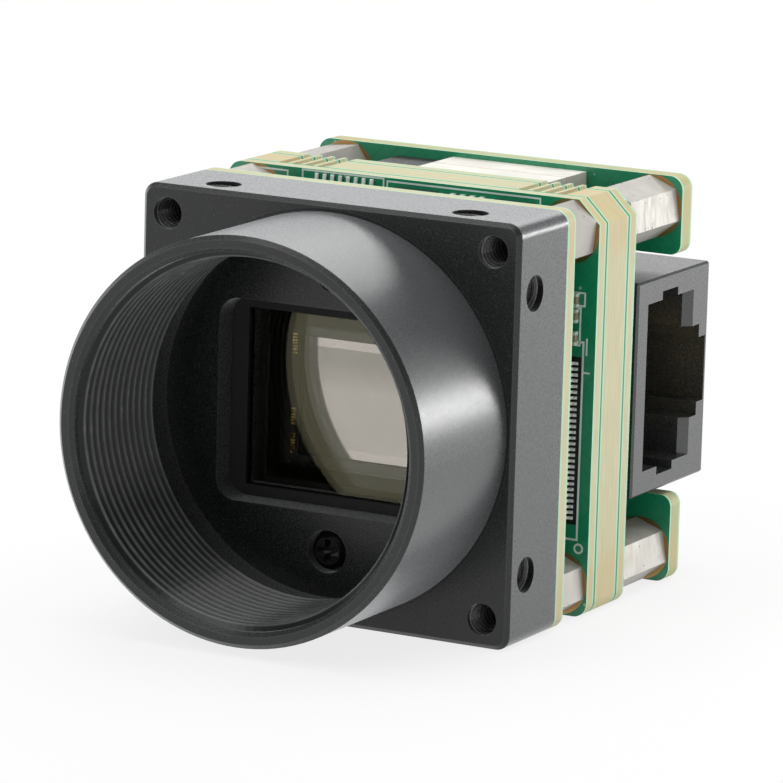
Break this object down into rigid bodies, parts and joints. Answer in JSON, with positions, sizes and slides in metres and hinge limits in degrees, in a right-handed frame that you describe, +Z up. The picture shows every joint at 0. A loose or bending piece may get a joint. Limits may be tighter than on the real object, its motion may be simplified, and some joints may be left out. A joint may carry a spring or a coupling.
{
  "type": "board-level machine vision camera",
  "caption": "Caseless machine vision camera: square metal front with a lens thread, circuit boards stacked on hexagonal standoffs, and a network jack sunk in the rear board.",
  "frame": {"origin": "centre of the lens mount at its flange face", "axes": "+Y from the lens to the rear board, +Z up, +X towards the mouth of the network jack"},
  "size_m": [0.029, 0.0429, 0.029],
  "materials": {
    "anodised_black": "bead-blasted black anodised",
    "black_mask": "matt black",
    "filter_glass": "coated, polished",
    "cover_glass": "polished",
    "sensor_ceramic": "dull ceramic",
    "sensor_die": "polished silicon",
    "black_screw": "glossy black oxide",
    "nickel": "turned, nickel plated",
    "circuit_board": "green solder mask, cream laminate edge",
    "chip_black": "moulded, satin",
    "connector_black": "moulded, satin",
    "connector_cream": "moulded, satin",
    "tin": "soldered tin",
    "capacitor_tan": "ceramic",
    "resistor_black": "glazed",
    "edge_parts": "mixed small parts",
    "jack_plastic": "moulded, satin",
    "gold_contact": "gold plated",
    "label_white": "printed paper"
  },
  "bodies": {
    "root": {"board_nuts": "nickel", "bridge_leads": "tin", "bridge_rectifier_1": "chip_black", "bridge_rectifier_2": "chip_black", "chip_resistors": "resistor_black", "chip_resistors_ends": "tin", "core_front_board": "circuit_board", "core_rear_board": "circuit_board", "core_spacer_frame": "circuit_board", "diode_row": "chip_black", "diode_row_ends": "tin", "edge_parts": "edge_parts", "filter_frame": "black_mask", "filter_glass": "filter_glass", "floor_screws": "black_screw", "front_housing": "anodised_black", "front_standoff_1": "nickel", "front_standoff_2": "nickel", "front_standoff_3": "nickel", "front_standoff_4": "nickel", "jack_contacts": "gold_contact", "jack_label": "label_white", "lan_transformer": "chip_black", "lan_transformer_leads": "tin", "large_capacitors": "capacitor_tan", "large_capacitors_ends": "tin", "link_plug_left": "connector_black", "link_plug_right": "connector_black", "link_socket_left": "connector_black", "link_socket_right": "connector_black", "memory_chip": "chip_black", "mezzanine_plug": "connector_cream", "mezzanine_socket": "connector_cream", "middle_capacitors": "capacitor_tan", "middle_capacitors_ends": "tin", "network_jack": "jack_plastic", "power_chip": "chip_black", "power_chip_leads": "tin", "power_inductor": "chip_black", "processor_chip": "chip_black", "rear_board": "circuit_board", "rear_screw_1": "black_screw", "rear_screw_2": "black_screw", "rear_screw_3": "black_screw", "rear_screw_4": "black_screw", "rear_standoff_1": "nickel", "rear_standoff_2": "nickel", "rear_standoff_3": "nickel", "rear_standoff_4": "nickel", "sensor_board": "circuit_board", "sensor_cover_glass": "cover_glass", "sensor_die": "sensor_die", "sensor_package": "sensor_ceramic", "small_capacitors": "capacitor_tan", "small_capacitors_ends": "tin", "surge_diode": "chip_black", "surge_diode_ends": "tin"}
  },
  "joints": []
}
